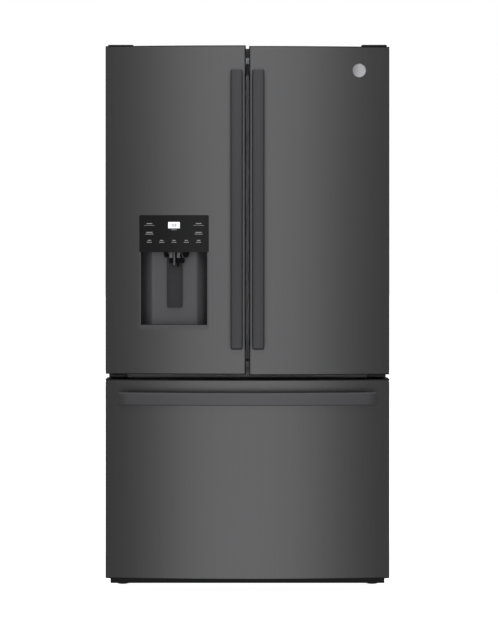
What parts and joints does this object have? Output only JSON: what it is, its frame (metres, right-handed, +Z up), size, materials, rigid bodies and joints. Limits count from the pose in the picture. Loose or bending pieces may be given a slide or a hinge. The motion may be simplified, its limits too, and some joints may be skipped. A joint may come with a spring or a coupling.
{
  "type": "french door refrigerator",
  "caption": "Refrigerator with side-by-side fresh-food doors, an ice and water dispenser in the left door and a full-width freezer drawer below.",
  "frame": {"origin": "centre of the outline on the floor, midway between the handles' front and the rear panel", "axes": "+Z up, +Y towards the back, +X to the right of someone facing the doors"},
  "size_m": [0.908, 0.933, 1.76],
  "materials": {
    "case_paint": "satin",
    "galvanised": "satin",
    "door_steel": "satin",
    "handle_steel": "satin",
    "hinge_steel": "satin",
    "rail_metal": "satin",
    "dark_plastic": "matte",
    "panel_gloss": "gloss",
    "liner_plastic": "gloss",
    "grey_plastic": "matte",
    "clear_plastic": "gloss",
    "shelf_glass": "gloss",
    "gasket_rubber": "matte",
    "foam": "matte",
    "badge_metal": "polished",
    "compressor_black": "gloss",
    "coil_metal": "satin",
    "fitting_plastic": "matte"
  },
  "bodies": {
    "cabinet": {"cabinet_shell": "case_paint", "rear_panel": "galvanised", "base_frame": "galvanised", "cabinet_foam": "foam", "fresh_food_liner": "liner_plastic", "freezer_liner": "liner_plastic", "centre_rail": "rail_metal", "door_hinges": "hinge_steel", "hinge_covers": "dark_plastic", "base_grille": "dark_plastic", "levelling_legs": "dark_plastic", "compressor": "compressor_black", "condenser": "coil_metal", "fan_shroud": "dark_plastic", "rear_cover": "galvanised", "service_fittings": "fitting_plastic", "evaporator": "coil_metal", "evaporator_cover": "liner_plastic", "air_tower": "liner_plastic", "shelf_frames": "grey_plastic", "shelf_glass": "shelf_glass", "drawer_rails": "rail_metal"},
    "left_door": {"left_door_skin": "door_steel", "left_door_liner": "liner_plastic", "left_door_gasket": "gasket_rubber", "left_door_handle": "handle_steel", "left_door_caps": "dark_plastic", "dispenser_housing": "dark_plastic", "control_panel": "panel_gloss", "ice_chute": "grey_plastic", "left_door_bins": "clear_plastic", "ice_maker": "grey_plastic", "ice_bin": "clear_plastic", "ice_compartment": "liner_plastic"},
    "right_door": {"right_door_skin": "door_steel", "right_door_liner": "liner_plastic", "right_door_gasket": "gasket_rubber", "right_door_handle": "handle_steel", "right_door_caps": "dark_plastic", "right_door_bins": "clear_plastic", "round_badge": "badge_metal"},
    "mullion": {"mullion": "rail_metal"},
    "ice_box_door": {"ice_box_door": "liner_plastic"},
    "dispenser_paddle": {"dispenser_paddle": "dark_plastic"},
    "freezer_drawer": {"drawer_skin": "door_steel", "drawer_liner": "liner_plastic", "drawer_gasket": "gasket_rubber", "drawer_handle": "handle_steel", "drawer_caps": "dark_plastic", "drawer_frame": "rail_metal", "lower_basket": "grey_plastic"},
    "slide_members": {"slide_members": "rail_metal"},
    "upper_basket": {"upper_basket": "grey_plastic"},
    "left_crisper": {"left_crisper": "clear_plastic"},
    "right_crisper": {"right_crisper": "clear_plastic"},
    "deli_drawer": {"deli_drawer": "clear_plastic"},
    "condenser_fan": {"condenser_fan": "dark_plastic"},
    "evaporator_fan": {"evaporator_fan": "grey_plastic"},
    "rear_left_roller": {"rear_left_roller": "dark_plastic"},
    "rear_right_roller": {"rear_right_roller": "dark_plastic"}
  },
  "joints": [
    {"name": "left_door_swing", "type": "hinge", "parent": "cabinet", "child": "left_door", "pos_m": [-0.434, -0.312, 1.226], "axis": [0, 0, -1], "range_deg": [0, 104]},
    {"name": "right_door_swing", "type": "hinge", "parent": "cabinet", "child": "right_door", "pos_m": [0.434, -0.312, 1.226], "axis": [0, 0, 1], "range_deg": [0, 104]},
    {"name": "mullion_fold", "type": "hinge", "parent": "left_door", "child": "mullion", "pos_m": [-0.036, -0.2722, 1.204], "axis": [0, 0, 1], "range_deg": [0, 90]},
    {"name": "ice_box_door_swing", "type": "hinge", "parent": "left_door", "child": "ice_box_door", "pos_m": [-0.38, -0.125, 1.475], "axis": [0, 0, 1], "range_deg": [0, 90]},
    {"name": "dispenser_paddle_push", "type": "hinge", "parent": "left_door", "child": "dispenser_paddle", "pos_m": [-0.234, -0.352, 1.077], "axis": [1, 0, 0], "range_deg": [0, 9], "stiffness_Nm_per_rad": 0.5},
    {"name": "freezer_drawer_slide", "type": "slide", "parent": "cabinet", "child": "freezer_drawer", "axis": [0, -1, 0], "range_m": [0, 0.45]},
    {"name": "slide_members_follow", "type": "slide", "parent": "cabinet", "child": "slide_members", "axis": [0, -1, 0], "range_m": [0, 0.225]},
    {"name": "upper_basket_slide", "type": "slide", "parent": "freezer_drawer", "child": "upper_basket", "axis": [0, 1, 0], "range_m": [0, 0.15]},
    {"name": "left_crisper_slide", "type": "slide", "parent": "cabinet", "child": "left_crisper", "axis": [0, -1, 0], "range_m": [0, 0.08]},
    {"name": "right_crisper_slide", "type": "slide", "parent": "cabinet", "child": "right_crisper", "axis": [0, -1, 0], "range_m": [0, 0.08]},
    {"name": "deli_drawer_slide", "type": "slide", "parent": "cabinet", "child": "deli_drawer", "axis": [0, -1, 0], "range_m": [0, 0.08]},
    {"name": "condenser_fan_spin", "type": "hinge", "parent": "cabinet", "child": "condenser_fan", "pos_m": [0.032, 0.36, 0.15], "axis": [1, 0, 0], "continuous": true},
    {"name": "evaporator_fan_spin", "type": "hinge", "parent": "cabinet", "child": "evaporator_fan", "pos_m": [0, 0.352, 0.588], "axis": [0, 1, 0], "continuous": true},
    {"name": "rear_left_roller_spin", "type": "hinge", "parent": "cabinet", "child": "rear_left_roller", "pos_m": [-0.41, 0.42, 0.017], "axis": [1, 0, 0], "continuous": true},
    {"name": "rear_right_roller_spin", "type": "hinge", "parent": "cabinet", "child": "rear_right_roller", "pos_m": [0.41, 0.42, 0.017], "axis": [1, 0, 0], "continuous": true}
  ],
  "couplings": [
    {"joint": "slide_members_follow", "follows": "freezer_drawer_slide", "ratio": 0.5}
  ]
}
